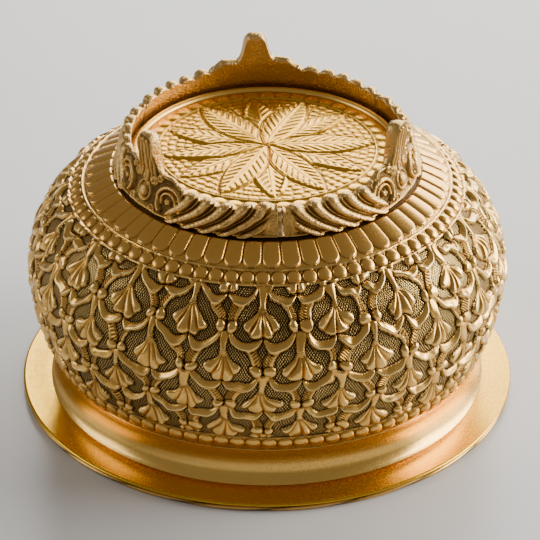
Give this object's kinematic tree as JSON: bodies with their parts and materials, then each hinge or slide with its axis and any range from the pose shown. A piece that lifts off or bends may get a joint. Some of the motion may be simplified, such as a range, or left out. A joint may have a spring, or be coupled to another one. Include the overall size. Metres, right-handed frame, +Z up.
{
  "type": "urli bowl",
  "caption": "Round chased brass urli bowl with a wide flared rim and a scalloped cast foot ring on three feet, shown resting mouth down",
  "frame": {"origin": "centre of the plane the rim rests on, at the bottom of the bounding box", "axes": "+Z up through the foot ring as the bowl rests mouth down, +Y toward the side of the rear foot, +X to the right seen from the front joint; turn 180 degrees about X for use mouth up"},
  "size_m": [0.21, 0.21, 0.1349],
  "materials": {
    "bowl_shell": "chased, antiqued in the recesses",
    "rim_flange": "turned satin polish",
    "neck_ring": "turned satin polish",
    "rim_bead": "milled bead, antiqued",
    "base_medallion": "embossed satin",
    "medallion_border": "satin wire",
    "foot_segment_rear": "sand cast, antiqued",
    "foot_segment_left": "sand cast, antiqued",
    "foot_segment_right": "sand cast, antiqued",
    "solder_joint_front": "grey filed solder",
    "solder_joint_rear_left": "grey filed solder",
    "solder_joint_rear_right": "grey filed solder"
  },
  "bodies": {
    "root": {"bowl_shell": "bowl_shell", "rim_flange": "rim_flange", "neck_ring": "neck_ring", "rim_bead": "rim_bead", "base_medallion": "base_medallion", "medallion_border": "medallion_border", "foot_segment_rear": "foot_segment_rear", "foot_segment_left": "foot_segment_left", "foot_segment_right": "foot_segment_right", "solder_joint_front": "solder_joint_front", "solder_joint_rear_left": "solder_joint_rear_left", "solder_joint_rear_right": "solder_joint_rear_right"}
  },
  "joints": []
}
